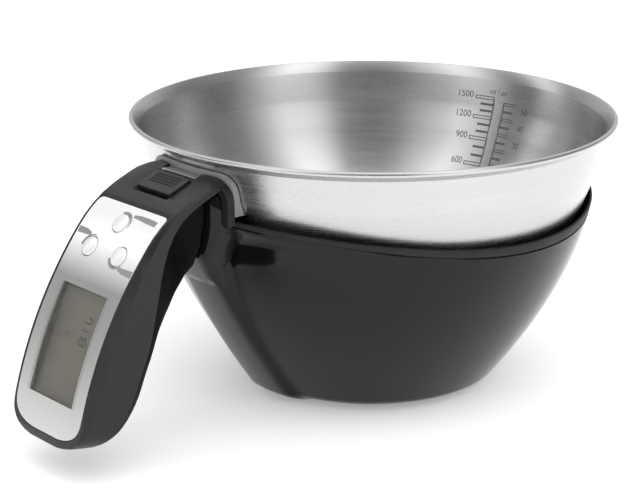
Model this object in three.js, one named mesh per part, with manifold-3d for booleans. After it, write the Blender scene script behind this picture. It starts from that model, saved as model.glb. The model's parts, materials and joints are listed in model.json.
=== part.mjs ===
// Kitchen scale: a steel mixing bowl stands on a weighing platform inside a black plastic shell.
// A curved handle grows out of the shell and carries the display, the buttons and the release.
// Millimetres, +Z up, the handle points towards -X.
import * as THREE from 'three';
import { mergeVertices } from 'three/addons/utils/BufferGeometryUtils.js';
import Module from 'manifold-3d';

// ---- clearances and walls
const fit = 0.3;               // gap between neighbouring solids
const slideGap = 0.4;          // gap round anything that moves
const shellWall = 1.4;
const linerWall = 1.0;
const caseWall = 2.2;          // handle casing
const bowlWall = 0.8;

// ---- bowl
const rimRadius = 105;
const rimHeight = 118.5;
const rimBead = 1.2;           // radius of the rolled edge
const flangeWidth = 3.8;       // from the wall to the outside of the rolled edge
const bowlFloorRadius = 40;
const bowlFloorHeight = 43.2;  // underside of the floor
const bowlShoulderHeight = rimHeight - 30;
const bowlShoulderInset = 11;  // rim radius less the radius at the shoulder
const wallTaper = 3.4;         // rim wall radius less the radius half way down the wall

// ---- shell
const shellBaseRadius = 52;
const shellRadius = rimRadius - 8.5;   // where the flank levels out
const shellHeight = rimHeight - 23.5;  // height at which it would level out
const shellPower = 1.75;       // how round the flank is
const heelDrop = 8.3;          // how far the rounded heel draws in at the floor
const heelHeight = 6;
const footGap = 1.0;           // shell bottom above the table
const rimMean = shellHeight - 13.3;    // the shell's edge dips at the sides
const rimDip = 5.3;
const rimLean = 4.0;           // and rises towards the handle
const lipHeight = 2.6;         // matt lip above the glossy edge, at the handle
const lipGrowth = 1.8;         // and how much taller it gets on the far side
const lipFlare = 1.6;          // the lip leans out to clear the bowl
const handleFlare = 3.5;       // more of it next to the handle
const spineHalfWidth = 14;     // flat-fronted spine under the handle
const spineFoot = shellBaseRadius + 3.2;  // how far out the spine stands at the table
const spineSlope = 0.7;
const spineSag = 0.00115;
const spineTop = shellHeight - 25;
const coverRadius = 45.6;      // round cover in the underside
const coverThickness = 2.6;
const ledgeWidth = 3;

// ---- handle
const handleLength = 131;      // along its front face
const handleHalfWidth = 24.5;
const topAngle = 21.5;         // slope of the top plate, degrees
const topLength = 23;
const bendAngle = 49.4;        // slope where the tight bend ends
const bendEnd = 45.2;
const faceRadius = 166.5;      // of the long curve behind the display
const handleRise = rimHeight - 6.4;    // height of the front curve over the bowl wall
const handleReach = rimRadius - 6.6;   // distance of that point from the bowl's axis
const gripDepth = 29.4;
const neckDepth = 9;           // the neck is this much deeper than the grip
const sideDepthTop = 2.8;
const sideDepthGrip = 21.5;
const tipLength = 31;          // the underside rounds up over this length
const cornerLength = 14;       // the corners round off over this length
const collarHalfWidth = 26.5;
const collarDepth = 3.4;
const collarBand = 2.8;        // width of the arch that frames the bracket
const collarFoot = handleRise - 20.1;

// ---- neck: the glossy column between the spine and the handle's arch
const neckFoot = shellHeight - 32;
const neckTop = handleRise - 6.8;
const neckFrontLow = rimRadius - 7;
const neckFront = rimRadius + 3;
const neckBulge = neckFoot + 17.5;     // height where the front stops leaning out
const neckHalfLow = 14;
const neckCorner = 7;          // the top rounds off over this height
const neckHalfHigh = collarHalfWidth - collarBand - fit;
const backPinch = 0.22;        // the handle's underside is this much narrower at the neck

// ---- bracket on the bowl
const bracketHalfWidth = 25.5;
const bracketTop = rimHeight - 6.7;
const bracketBottom = rimHeight - 23.5;
const bracketRadius = rimRadius - 3;
const bracketCorner = 7;
const catchHalfWidth = 10.5;
const catchThickness = 2;
const catchReach = 4;
const catchTop = bracketTop - 2.4;
const catchBottom = bracketBottom - 2;

// ---- fascia, buttons, display
const fasciaTop = 31.9;
const fasciaBottom = 127.7;
const fasciaHalfWidth = 21.7;
const fasciaThickness = 0.9;
const fasciaCorner = 12;
const topCorner = 3;
const fasciaSteps = 36;
const buttonRadius = 4;
const buttonFlange = 0.8;
const buttonProud = 0.7;
const buttonTravel = 0.7;
const buttonPlaces = { zero_button: [40.5, 0], mode_button: [53.3, 9.5], unit_button: [53.3, -9.5] };
const windowTop = 69.6;
const windowBottom = 114.2;
const windowHalfWidth = 14.4;
const lcdThickness = 2;
const lcdMargin = 1.6;
const boardThickness = 1.2;
const boardHalfWidth = 16.5;

// ---- release slider
const releaseTop = 10.3;
const releaseBottom = 21.5;
const releaseHalfWidth = 10.6;
const releaseProud = 0.9;
const releaseTravel = 2;

// ---- weighing parts
const cellLength = 60;
const cellSize = 12.7;
const cellBase = 8.3;
const platformRadius = bowlFloorRadius - 10;
const platformThickness = 2.9;
const postRadius = 8;

// ---- battery
const batteryRadius = 10;
const batteryThickness = 3.2;
const batteryStation = 95;
const doorHalfWidth = batteryRadius + 2.5;
const doorHalfLength = batteryRadius + 2.5;
const holderHalf = batteryRadius + 2.2;

// ---- fasteners and feet
const screwRadius = 1.3;
const screwHead = 2.6;
const screwHeadHeight = 1.4;
const footRadius = 6;
const footHeight = 2;
const footCircle = 34;

const lib = await Module();
lib.setup();

// ---- solids
function solid(geometry) {
  const bare = geometry.clone();
  bare.deleteAttribute('normal');
  bare.deleteAttribute('uv');
  const merged = mergeVertices(bare, 1e-4);
  return new lib.Manifold(new lib.Mesh({
    numProp: 3,
    vertProperties: new Float32Array(merged.attributes.position.array),
    triVerts: new Uint32Array(merged.index.array),
  }));
}

function geometryOf(manifold) {
  const mesh = manifold.simplify(0.01).getMesh();
  const geometry = new THREE.BufferGeometry();
  geometry.setAttribute('position', new THREE.BufferAttribute(mesh.vertProperties, 3));
  geometry.setIndex(new THREE.BufferAttribute(mesh.triVerts, 1));
  geometry.computeVertexNormals();
  return geometry;
}

function cut(geometry, ...tools) {
  return geometryOf(tools.reduce((rest, tool) => rest.subtract(solid(tool)), solid(geometry)));
}

function join(...geometries) {
  return geometryOf(geometries.map(solid).reduce((sum, next) => sum.add(next)));
}

function common(first, second) {
  return geometryOf(solid(first).intersect(solid(second)));
}

// Turned solid about +Z from [radius, height] points.
function turned(points, segments = 48) {
  const profile = points.map(([r, h]) => new THREE.Vector2(r, h));
  return new THREE.LatheGeometry(profile, segments).rotateX(Math.PI / 2);
}

function rod(radius, low, high, segments = 20) {
  return turned([[0, low], [radius, low], [radius, high], [0, high]], segments);
}

function block(x0, x1, y0, y1, z0, z1) {
  const box = new THREE.BoxGeometry(x1 - x0, y1 - y0, z1 - z0);
  return box.translate((x0 + x1) / 2, (y0 + y1) / 2, (z0 + z1) / 2);
}

const clamp = (value) => Math.min(Math.max(value, 0), 1);
const smooth = (value) => clamp(value) ** 2 * (3 - 2 * clamp(value));
const softMax = (a, b, blend) => (a + b + Math.hypot(a - b, blend)) / 2;
const softMin = (a, b, blend) => (a + b - Math.hypot(a - b, blend)) / 2;
const degrees = (value) => value * Math.PI / 180;

function moved(geometry, move) {
  const place = geometry.attributes.position;
  const point = new THREE.Vector3();
  for (let i = 0; i < place.count; i += 1) {
    point.fromBufferAttribute(place, i);
    move(point);
    place.setXYZ(i, point.x, point.y, point.z);
  }
  return geometry;
}

// ---- shell shape: radius at a height, and the height of its edge round the axis.
// The turn is measured from the handle, so 0 is under the handle and pi is the far side.
function flank(z) {
  const level = 1 - Math.min(Math.max(z, 0), shellHeight) / shellHeight;
  const heel = heelDrop * Math.max(1 - z / heelHeight, 0) ** 2;
  const flare = lipFlare * smooth((z - rimMean) / (shellHeight - rimMean));
  return shellBaseRadius + (shellRadius - shellBaseRadius) * (1 - level ** shellPower) - heel + flare;
}

function wallRadius(turn, z) {
  const near = ((1 + Math.cos(turn)) / 2) ** 4;
  return flank(z) + handleFlare * near * smooth((z - rimMean) / (shellHeight - rimMean));
}

function spineRadius(turn, z) {
  const heel = heelDrop * Math.max(1 - z / heelHeight, 0) ** 2;
  const front = (spineFoot + spineSlope * z - spineSag * z * z - heel) / Math.max(Math.cos(turn), 0.2);
  const side = spineHalfWidth / Math.max(Math.abs(Math.sin(turn)), 0.01);
  const spine = softMin(front, side, 11);
  const height = (1 - smooth((z - spineTop) / 10)) * smooth((Math.cos(turn) - 0.5) / 0.3);
  const round = wallRadius(turn, z);
  return round + height * (softMax(round, spine, 7) - round);
}

const edgeHeight = (turn) => rimMean + rimDip * Math.cos(2 * turn) + rimLean * Math.cos(turn);
const lipTop = (turn) => edgeHeight(turn) + lipHeight + lipGrowth * (1 - Math.cos(turn));

// Turned about the axis with its segments packed towards the handle, then drawn onto a wall shape.
// Points are [inset from the wall, height]; heights past `still` stretch to the edge and the lip.
const still = shellHeight - 35;
const edgeMark = still + 20;
const lipMark = edgeMark + 5;
function wrapped(points, wallShape, keepInside) {
  const flat = points.map(([inset, h]) => [Math.max(flank(h) - inset, 0), h]);
  const raised = (turn, h) => {
    if (h <= still) return h;
    const edge = edgeHeight(turn);
    if (h <= edgeMark) return still + (edge - still) * (h - still) / (edgeMark - still);
    return edge + (lipTop(turn) - edge) * (h - edgeMark) / (lipMark - edgeMark);
  };
  return moved(turned(flat, 50), (p) => {
    const radius = Math.hypot(p.x, p.y);
    const even = Math.atan2(p.y, -p.x);
    const turn = even - 0.7 * Math.sin(even);
    const z = raised(turn, p.z);
    const weight = clamp((radius - keepInside) / 2);
    const wall = flank(p.z) + weight * (wallShape(turn, z) - flank(p.z));
    const r = radius < 1e-6 ? 0 : wall - (flank(p.z) - radius);
    p.set(-r * Math.cos(turn), r * Math.sin(turn), z);
  });
}

const lowHeights = [0.05, 0.1, 0.1667, 0.2667, 0.4, 0.5667, 0.7667, 1].map((share) => share * still);
const wallHeights = [footGap, ...lowHeights, still + 7, still + 14, still + 17, edgeMark];

const heights = (from, to, count) =>
  Array.from({ length: count + 1 }, (_, i) => from + (to - from) * i / count);

// ---- handle shape: the front curve, and points beside and behind it
const bendStart = topLength;
function frontCurve(s) {
  const steps = 60;
  let x = -handleReach;
  let z = handleRise;
  for (let i = 0; i < steps; i += 1) {
    const slope = slopeAt(s * (i + 0.5) / steps);
    x -= Math.cos(slope) * s / steps;
    z -= Math.sin(slope) * s / steps;
  }
  return { x, z, slope: slopeAt(s) };
}

function slopeAt(s) {
  if (s < bendStart) return degrees(topAngle);
  const bend = clamp((s - bendStart) / (bendEnd - bendStart));
  return degrees(topAngle + (bendAngle - topAngle) * bend) + Math.max(s - bendEnd, 0) / faceRadius;
}

function handlePoint(s, y, depth) {
  const { x, z, slope } = frontCurve(s);
  return new THREE.Vector3(x + depth * Math.sin(slope), y, z - depth * Math.cos(slope));
}

const halfWave = (value) => 0.5 - 0.5 * Math.cos(Math.PI * clamp(value));
const towardsTip = (share) => Math.sin(share * Math.PI / 2);
const closing = (s, end, length, power) =>
  (1 - clamp(0.985 * (s - end + length) / length) ** power) ** (1 / power);
const halfWidthAt = (s, inset = 0) => (handleHalfWidth - inset) * closing(s, handleLength - inset, cornerLength, 3);
const depthAt = (s, inset = 0) => (gripDepth + neckDepth * (1 - halfWave((s - 20) / 65)) - inset)
  * closing(s, handleLength - inset, tipLength, 2);
const sideAt = (s) => Math.min(sideDepthTop + (sideDepthGrip - sideDepthTop) * halfWave((s - 16) / 76),
  0.72 * depthAt(s));

// Extruded section bent along the handle. The section is [u, v] with u across from -1 to 1;
// place(u, v, s) gives the offset from the middle and the depth behind the front curve.
function alongHandle(section, from, to, steps, place, spread = towardsTip) {
  const outline = new THREE.Shape(section.map(([u, v]) => new THREE.Vector2(u, v)));
  const bar = new THREE.ExtrudeGeometry(outline, { depth: 1, steps, bevelEnabled: false, curveSegments: 1 });
  const bent = moved(bar, (p) => {
    const s = from + (to - from) * spread(p.z);
    const [y, depth] = place(p.x, p.y, s);
    p.copy(handlePoint(s, y, depth));
  });
  return outward(bent);
}

// Faces pointing out whichever way the section was drawn.
function outward(geometry) {
  const body = solid(geometry);
  return body.isEmpty() || body.volume() < 0 ? flipped(geometry) : geometryOf(body);
}

function flipped(geometry) {
  const plain = geometry.index ? geometry.toNonIndexed() : geometry.clone();
  const place = plain.attributes.position;
  for (let i = 0; i < place.count; i += 3) {
    const a = new THREE.Vector3().fromBufferAttribute(place, i);
    const b = new THREE.Vector3().fromBufferAttribute(place, i + 1);
    place.setXYZ(i, b.x, b.y, b.z);
    place.setXYZ(i + 1, a.x, a.y, a.z);
  }
  return plain;
}

const rectangle = [[-1, 0], [1, 0], [1, 1], [-1, 1]];
function slab(from, to, halfWidth, near, far, steps = 24, spread = towardsTip) {
  const width = typeof halfWidth === 'function' ? halfWidth : () => halfWidth;
  const low = typeof near === 'function' ? near : () => near;
  const high = typeof far === 'function' ? far : () => far;
  return alongHandle(rectangle, from, to, steps,
    (u, v, s) => [u * width(s), low(s) + v * (high(s) - low(s))], spread);
}

// Round-backed section: flat front, straight sides and an elliptical back.
function gripSection() {
  const back = heights(0, 180, 10).map((angle) =>
    [Math.cos(degrees(angle)), 0.5 + 0.5 * Math.sin(degrees(angle))]);
  return [[-0.94, 0], [0.94, 0], [1, 0.1], [1, 0.48], ...back, [-1, 0.48], [-1, 0.1]];
}

const pinchAt = (s) => 1 - backPinch * (1 - smooth((s - 26) / 34));

function gripBody(inset, from, to, steps) {
  return alongHandle(gripSection(), from, to, steps, (u, v, s) => {
    const side = Math.max(sideAt(s), inset + 0.2);
    const back = Math.max(depthAt(s, inset), side + 0.2);
    const depth = v < 0.5 ? inset + 2 * v * (side - inset) : side + (2 * v - 1) * (back - side);
    const narrow = v < 0.49 ? 1 : pinchAt(s);
    return [u * halfWidthAt(s, inset) * narrow, depth];
  });
}

// Local frame at a place on the handle: X towards the bowl, Z out of the front face.
function stand(s, y = 0, depth = 0) {
  const place = new THREE.Group();
  place.position.copy(handlePoint(s, y, depth));
  place.rotation.y = -slopeAt(s);
  return place;
}

function stood(geometry, s, y = 0, depth = 0) {
  const place = stand(s, y, depth);
  place.updateMatrix();
  return geometry.clone().applyMatrix4(place.matrix);
}

// ---- materials
const finish = (color, roughness, metalness = 0) => new THREE.MeshStandardMaterial({ color, roughness, metalness });
const steel = finish(0xc4c4c2, 0.28, 1);
const bracketGrey = finish(0x7d7b74, 0.45, 0.3);
const glossBlack = finish(0x1c1c1d, 0.12);
const mattBlack = finish(0x0b0b0b, 0.6);
const satinGrey = finish(0x3c3c3d, 0.42);
const silver = finish(0xc9c9c6, 0.35, 0.6);
const lcdGreen = finish(0x6b6d5c, 0.5);
const clear = finish(0x8a8c80, 0.1);
const rubber = finish(0x161616, 0.9);
const aluminium = finish(0xb0b2b4, 0.4, 1);
const zinc = finish(0x9a9b9d, 0.35, 1);
const boardGreen = finish(0x1e5a34, 0.5);
const tin = finish(0xb8b4a8, 0.3, 1);
const sleeve = finish(0x303034, 0.7);

const scale = new THREE.Group();
function add(name, geometry, material, parent = scale) {
  const mesh = new THREE.Mesh(geometry, material);
  mesh.name = name;
  parent.add(mesh);
  return mesh;
}

function addAt(name, geometry, material, s, y = 0, depth = 0) {
  const place = stand(s, y, depth);
  scale.add(place);
  add(name, geometry, material, place);
}

// ---- bowl
const flangeRadius = rimRadius - flangeWidth;
const shoulderRadius = rimRadius - bowlShoulderInset;
const beadCentre = [rimRadius - rimBead, rimHeight - rimBead];

function bowlOutside() {
  const path = new THREE.Path();
  path.moveTo(0, bowlFloorHeight);
  path.lineTo(bowlFloorRadius, bowlFloorHeight);
  const side = shoulderRadius - bowlFloorRadius;
  const rise = bowlShoulderHeight - bowlFloorHeight;
  path.bezierCurveTo(bowlFloorRadius + 0.48 * side, bowlFloorHeight,
    shoulderRadius - 0.17 * side, bowlFloorHeight + 0.42 * rise, shoulderRadius, bowlShoulderHeight);
  const top = rimHeight - 4.5;
  const middle = (bowlShoulderHeight + top) / 2;
  path.quadraticCurveTo(flangeRadius - wallTaper, middle - 3, flangeRadius - wallTaper + 0.6, middle);
  path.quadraticCurveTo(flangeRadius - 1, top - 4, flangeRadius, top);
  return path.getPoints(5).map((p) => [p.x, p.y]);
}

function offsetProfile(points, distance) {
  return points.map(([r, h], i) => {
    const [r0, h0] = points[Math.max(i - 1, 0)];
    const [r1, h1] = points[Math.min(i + 1, points.length - 1)];
    const length = Math.hypot(r1 - r0, h1 - h0);
    return [Math.max(r - distance * (h1 - h0) / length, 0), h + distance * (r1 - r0) / length];
  });
}

function bowlShape() {
  const apart = ([r, h], i, all) => i === 0 || Math.hypot(r - all[i - 1][0], h - all[i - 1][1]) > 0.1;
  const outside = bowlOutside().filter(apart);
  const inside = offsetProfile(outside, bowlWall);
  inside[0][0] = 0;
  const bead = heights(-80, 110, 4).map((angle) => [
    beadCentre[0] + rimBead * Math.cos(degrees(angle)), beadCentre[1] + rimBead * Math.sin(degrees(angle))]);
  return turned([...outside, ...bead, ...inside.reverse()], 48);
}

// Everything inside the bowl's outer surface, grown by a clearance.
function bowlKeepOut(gap) {
  const grown = offsetProfile(bowlOutside(), -gap);
  grown[0][0] = 0;
  const top = grown[grown.length - 1];
  return turned([...grown, [top[0] + 0.2, rimHeight + 5], [0, rimHeight + 5]], 120);
}

function roundedPlate(halfWidth, low, high, corner) {
  const face = new THREE.Shape();
  face.moveTo(-halfWidth, low);
  face.lineTo(halfWidth, low);
  face.lineTo(halfWidth, high - corner);
  face.absarc(halfWidth - corner, high - corner, corner, 0, Math.PI / 2);
  face.lineTo(-halfWidth + corner, high);
  face.absarc(-halfWidth + corner, high - corner, corner, Math.PI / 2, Math.PI);
  const plate = new THREE.ExtrudeGeometry(face, { depth: 40, bevelEnabled: false, curveSegments: 6 });
  return plate.rotateX(Math.PI / 2).rotateZ(-Math.PI / 2).translate(-rimRadius + 15, 0, 0);
}

function bracketShape() {
  const ring = rod(bracketRadius, bracketBottom - 5, bracketTop + 5, 96);
  const arched = common(ring, roundedPlate(bracketHalfWidth, bracketBottom, bracketTop, bracketCorner));
  return cut(arched, bowlKeepOut(fit), block(-60, 60, -60, 60, 0, 200));
}

function catchShape() {
  const root = -bracketRadius - fit;
  const front = root - catchReach;
  const top = block(front, root, -catchHalfWidth, catchHalfWidth, catchTop - catchThickness, catchTop);
  const blade = block(front, front + catchThickness, -catchHalfWidth, catchHalfWidth, catchBottom, catchTop);
  const notch = block(front - 1, front + catchThickness + 1, -5.5, 5.5, 97, 102.5);
  return cut(join(top, blade), notch);
}

const bowl = new THREE.Group();
scale.add(bowl);
add('bowl', bowlShape(), steel, bowl);
add('bowl_bracket', bracketShape(), bracketGrey, bowl);
add('bowl_catch', catchShape(), zinc, bowl);

// ---- shell, liner and underside
const ledgeHeight = footGap + coverThickness + fit;
const leadHole = { z: shellHeight - 20, radius: 2.4 };
const neckScrewPlaces = [[9, shellHeight - 15], [-9, shellHeight - 15]];
const acrossWall = (radius, y, z) =>
  rod(radius, -20, 20, 16).rotateY(Math.PI / 2).translate(-shellRadius, y, z);
const leadRoom = () => acrossWall(leadHole.radius, 0, leadHole.z);
const neckScrewHoles = (radius) => neckScrewPlaces.map(([y, z]) => acrossWall(radius, y, z));

function shellShape() {
  const inset = (r, h) => flank(h) - r;
  const inside = wallHeights.filter((h) => h > ledgeHeight + 2).reverse();
  const opening = coverRadius + fit;
  const points = [
    [inset(opening, footGap), footGap],
    ...wallHeights.map((h) => [0, h]),
    ...inside.map((h) => [shellWall, h]),
    [inset(opening, ledgeHeight + shellWall), ledgeHeight + shellWall],
    [inset(opening - ledgeWidth, ledgeHeight + shellWall), ledgeHeight + shellWall],
    [inset(opening - ledgeWidth, ledgeHeight), ledgeHeight],
    [inset(opening, ledgeHeight), ledgeHeight],
    [inset(opening, footGap), footGap],
  ];
  const body = wrapped(points, spineRadius, opening + 0.2);
  return cut(body, leadRoom(), ...neckScrewHoles(screwRadius + 0.2));
}

const linerFloor = bowlFloorHeight - 6.6;
const linerJoin = still + 6;     // height where the dish meets the shell's wall
const linerPostRadius = 4;
const linerPosts = [0, 120, 240].map((angle) => [38 * Math.cos(degrees(angle)), 38 * Math.sin(degrees(angle))]);

function linerShape() {
  const inset = (r, h) => flank(h) - r;
  const curve = new THREE.CubicBezierCurve(
    new THREE.Vector2(bowlFloorRadius + 4, linerFloor),
    new THREE.Vector2(flank(linerFloor) - 7.5, linerFloor),
    new THREE.Vector2(flank(linerJoin - 16) - 0.5, linerJoin - 16),
    new THREE.Vector2(flank(linerJoin) - shellWall - fit, linerJoin));
  const under = curve.getPoints(8).map((p) => [p.x, p.y]);
  const over = offsetProfile(under, linerWall).reverse();
  const hidden = shellWall + fit;
  const points = [
    [flank(linerFloor), linerFloor],
    ...under.map(([r, h]) => [inset(r, h), h]),
    ...wallHeights.filter((h) => h > linerJoin).map((h) => [hidden, h]),
    [hidden, edgeMark + 0.4],
    [0, edgeMark + 0.4],
    [0, lipMark - 0.6],
    [0.5, lipMark],
    [linerWall, lipMark],
    [linerWall, edgeMark + 2],
    ...wallHeights.filter((h) => h > linerJoin).reverse().map((h) => [hidden + linerWall, h]),
    ...over.map(([r, h]) => [inset(r, h), h]),
    [flank(linerFloor + linerWall), linerFloor + linerWall],
  ];
  const dish = wrapped(points, wallRadius, 60);
  const posts = linerPosts.map(([x, y]) =>
    rod(linerPostRadius, footGap + coverThickness + fit, linerFloor + 0.5, 20).translate(x, y, 0));
  const bores = linerPosts.map(([x, y]) => rod(screwRadius + 0.15, 0, linerFloor - 6, 12).translate(x, y, 0));
  return cut(join(dish, ...posts), rod(postRadius + 4, 0, 60, 32), ...bores, ...neckScrewHoles(screwHead + fit));
}

const footPlaces = [45, 135, 225, 315].map((angle) =>
  [footCircle * Math.cos(degrees(angle)), footCircle * Math.sin(degrees(angle))]);
const cellScrewOffsets = [-0.42, -0.28, 0.28, 0.42].map((share) => share * cellLength);

function baseCoverShape() {
  const top = footGap + coverThickness;
  const disc = turned([[0, footGap], [coverRadius - 0.8, footGap], [coverRadius, footGap + 0.8],
    [coverRadius, top], [0, top]], 60);
  const boss = block(-cellLength / 2, -cellLength / 2 + 20, -cellSize / 2, cellSize / 2, top - 0.5, cellBase - fit);
  const pockets = footPlaces.map(([x, y]) =>
    rod(footRadius + fit, 0, footHeight + fit, 24).translate(x, y, 0));
  const screwHoles = linerPosts.map(([x, y]) => turned([[0, 0], [screwHead + fit, 0],
    [screwHead + fit, footGap + screwHeadHeight], [screwRadius + fit, footGap + screwHeadHeight],
    [screwRadius + fit, 9], [0, 9]], 20).translate(x, y, 0));
  const cellHoles = cellScrewOffsets.slice(0, 2).map((x) => turned([[0, 0], [screwHead + fit, 0],
    [screwHead + fit, footGap + screwHeadHeight], [screwRadius + fit, footGap + screwHeadHeight],
    [screwRadius + fit, 9], [0, 9]], 20).translate(x, 0, 0));
  return cut(join(disc, boss), ...pockets, ...screwHoles, ...cellHoles);
}

const screwShape = (length, radius = screwRadius, head = screwHead) => turned([[0, 0], [head, 0],
  [head, screwHeadHeight - fit], [radius, screwHeadHeight - fit], [radius, length], [0, length]], 16);

add('outer_shell', shellShape(), glossBlack);
add('inner_liner', linerShape(), mattBlack);
add('base_cover', baseCoverShape(), mattBlack);
footPlaces.forEach(([x, y], i) => {
  const foot = turned([[0, 0], [footRadius - 0.6, 0], [footRadius, 0.6], [footRadius, footHeight], [0, footHeight]], 24);
  add(`foot_${i + 1}`, foot, rubber).position.set(x, y, 0);
});
linerPosts.forEach(([x, y], i) => {
  add(`base_screw_${i + 1}`, screwShape(18), zinc).position.set(x, y, footGap);
});

// ---- weighing parts
function cellShape() {
  const half = cellLength / 2;
  const bar = block(-half, half, -cellSize / 2, cellSize / 2, cellBase, cellBase + cellSize);
  const middle = cellBase + cellSize / 2;
  const eyes = [-7, 7].map((x) =>
    rod(4.6, -cellSize, cellSize, 24).rotateX(Math.PI / 2).translate(x, 0, middle));
  const slit = block(-7, 7, -cellSize, cellSize, middle - 1, middle + 1);
  const holes = cellScrewOffsets.map((x) => rod(screwRadius + 0.2, cellBase - 1, cellBase + cellSize + 1, 12)
    .translate(x, 0, 0));
  return cut(bar, ...eyes, slit, ...holes);
}

const cellTop = cellBase + cellSize;
const platformTop = bowlFloorHeight - fit;
const postTop = platformTop - platformThickness - fit;

function carrierShape() {
  const half = cellLength / 2;
  const arm = block(-postRadius, half, -cellSize / 2, cellSize / 2, cellTop + 2, cellTop + 4.5);
  const pad = block(half - 20, half, -cellSize / 2, cellSize / 2, cellTop + fit, cellTop + 2.5);
  const post = rod(postRadius, cellTop + 2, postTop, 24);
  const holes = cellScrewOffsets.slice(2).map((x) =>
    rod(screwRadius + 0.2, cellTop - 1, cellTop + 9, 12).translate(x, 0, 0));
  const bore = rod(screwRadius + 0.15, postTop - 10, postTop + 1, 12);
  return cut(join(arm, pad, post), ...holes, bore);
}

function platformShape() {
  const low = platformTop - platformThickness;
  const disc = turned([[0, low], [platformRadius - 1, low], [platformRadius, low + 1],
    [platformRadius, platformTop - 0.6], [platformRadius - 0.6, platformTop], [0, platformTop]], 48);
  const sink = turned([[0, low - 1], [screwRadius + 0.2, low - 1], [screwRadius + 0.2, platformTop - screwHeadHeight],
    [screwHead + fit, platformTop - screwHeadHeight], [screwHead + fit, platformTop + 1], [0, platformTop + 1]], 20);
  return cut(disc, sink);
}

add('load_cell', cellShape(), aluminium);
add('platform_carrier', carrierShape(), mattBlack);
add('weighing_platform', platformShape(), mattBlack);
const platformScrew = add('platform_screw', screwShape(9), zinc);
platformScrew.rotation.x = Math.PI;
platformScrew.position.z = platformTop - 0.2;
cellScrewOffsets.forEach((x, i) => {
  const screw = add(`cell_screw_${i + 1}`, screwShape(i < 2 ? 15 : 12), zinc);
  const below = i < 2;
  screw.rotation.x = below ? 0 : Math.PI;
  screw.position.set(x, 0, below ? footGap + 0.1 : cellTop + 4.5 + screwHeadHeight);
});

// ---- handle casing
const collarRadius = bracketRadius + 0.6;
const coverBack = (s) => sideAt(s) - fit / 2;
const backFront = (s) => sideAt(s) + fit / 2;

// The shell and its lip need this room at the end of the handle.
function shellKeepOut() {
  const low = 34;
  const high = lipMark + 0.5;
  const upper = wallHeights.filter((h) => h >= low);
  return wrapped([[flank(low), low], ...upper.map((h) => [-fit, h]), [-fit, high], [flank(high), high]],
    spineRadius, 0);
}

const bracketRoom = () => common(rod(collarRadius, collarFoot - 1, 200, 120), block(-200, 0, -60, 60, 0, 250));
const casing = cut(gripBody(0, -3, handleLength, 32), gripBody(caseWall, -4, handleLength - caseWall, 32));

const archTop = handlePoint(5, 0, 0).z;
const archOutline = (grow, low) =>
  roundedPlate(collarHalfWidth + grow, low, archTop + grow, bracketCorner + collarBand + grow);

// The arch that frames the bracket, grown by a clearance for what stands inside it.
function arch(grow) {
  const ring = cut(rod(collarRadius + collarDepth + grow, collarFoot - grow, handleRise + 2, 120),
    rod(collarRadius - grow, 0, 300, 120));
  const inside = roundedPlate(collarHalfWidth - collarBand - grow, 0, archTop - collarBand - grow,
    bracketCorner);
  return common(ring, cut(archOutline(grow, collarFoot - grow), inside));
}

const archRoom = () => arch(fit);
const collar = () => common(arch(0), slab(-6, 40, collarHalfWidth + 5, 0.02, 60, 14));

// The end of the handle is trimmed to the arch's outline.
const trimmed = () => common(casing, join(archOutline(0, 0), block(-300, -rimRadius - 20, -60, 60, 0, 200)));

const catchRoom = () => block(-bracketRadius - catchReach - fit - slideGap, -bracketRadius,
  -catchHalfWidth - slideGap, catchHalfWidth + slideGap, catchBottom - 2, 140);

const holeThrough = (s, y, radius, near, far) =>
  stood(rod(radius, -far, -near, 20), s, y);

function coverShape() {
  const front = slab(-6, handleLength + 3, handleHalfWidth + 6, -4, coverBack, 32);
  const spring = springStart();
  const ribEnd = spring.x - springLength - fit;
  const rib = block(ribEnd - 1.2, ribEnd, -3, 3, spring.z - 3, spring.z + 4.6);
  const plate = join(common(trimmed(), front), collar(), rib);
  const recess = slab(fasciaTop - fit, fasciaBottom + fit, (s) => fasciaWidthAt(s, fit), -3,
    fasciaThickness + fit, fasciaSteps, halfWave);
  const pane = slab(windowTop - fit, windowBottom + fit, windowHalfWidth + fit, -3, 6);
  const seat = slab(releaseTop - fit, releaseBottom + releaseTravel + fit, releaseHalfWidth + slideGap, -3,
    1.5, 6);
  const slot = slab(releaseStem.nose - 0.9, releaseStem.to + releaseTravel + fit, releaseStem.halfWidth + slideGap,
    -3, 6, 4);
  const buttonHoles = Object.values(buttonPlaces).map(([s, y]) => holeThrough(s, y, buttonRadius + slideGap, -3, 6));
  return cut(plate, bracketRoom(), shellKeepOut(), recess, pane, seat, slot, ...buttonHoles, catchRoom());
}

const doorRoom = (grow) => stood(block(-doorHalfLength - grow, doorHalfLength + grow,
  -doorHalfWidth - grow, doorHalfWidth + grow, -60, -sideDepthGrip - 1), batteryStation);

const rearSlab = () => slab(-6, handleLength + 3, handleHalfWidth + 6, backFront, 60, 32);

function backShape() {
  const behindNeck = block(-300, -neckFront - fit, -60, 60, 0, 200);
  const rear = common(rearSlab(), behindNeck);
  return cut(common(casing, rear), doorRoom(fit), shellKeepOut());
}

function neckHalf(z) {
  const flare = neckHalfLow + (neckHalfHigh - neckHalfLow) * smooth((z - neckFoot - 3) / 28);
  const corner = bracketCorner * clamp((z - neckTop + neckCorner) / neckCorner) ** 2;
  return flare - corner / 2;
}

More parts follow.
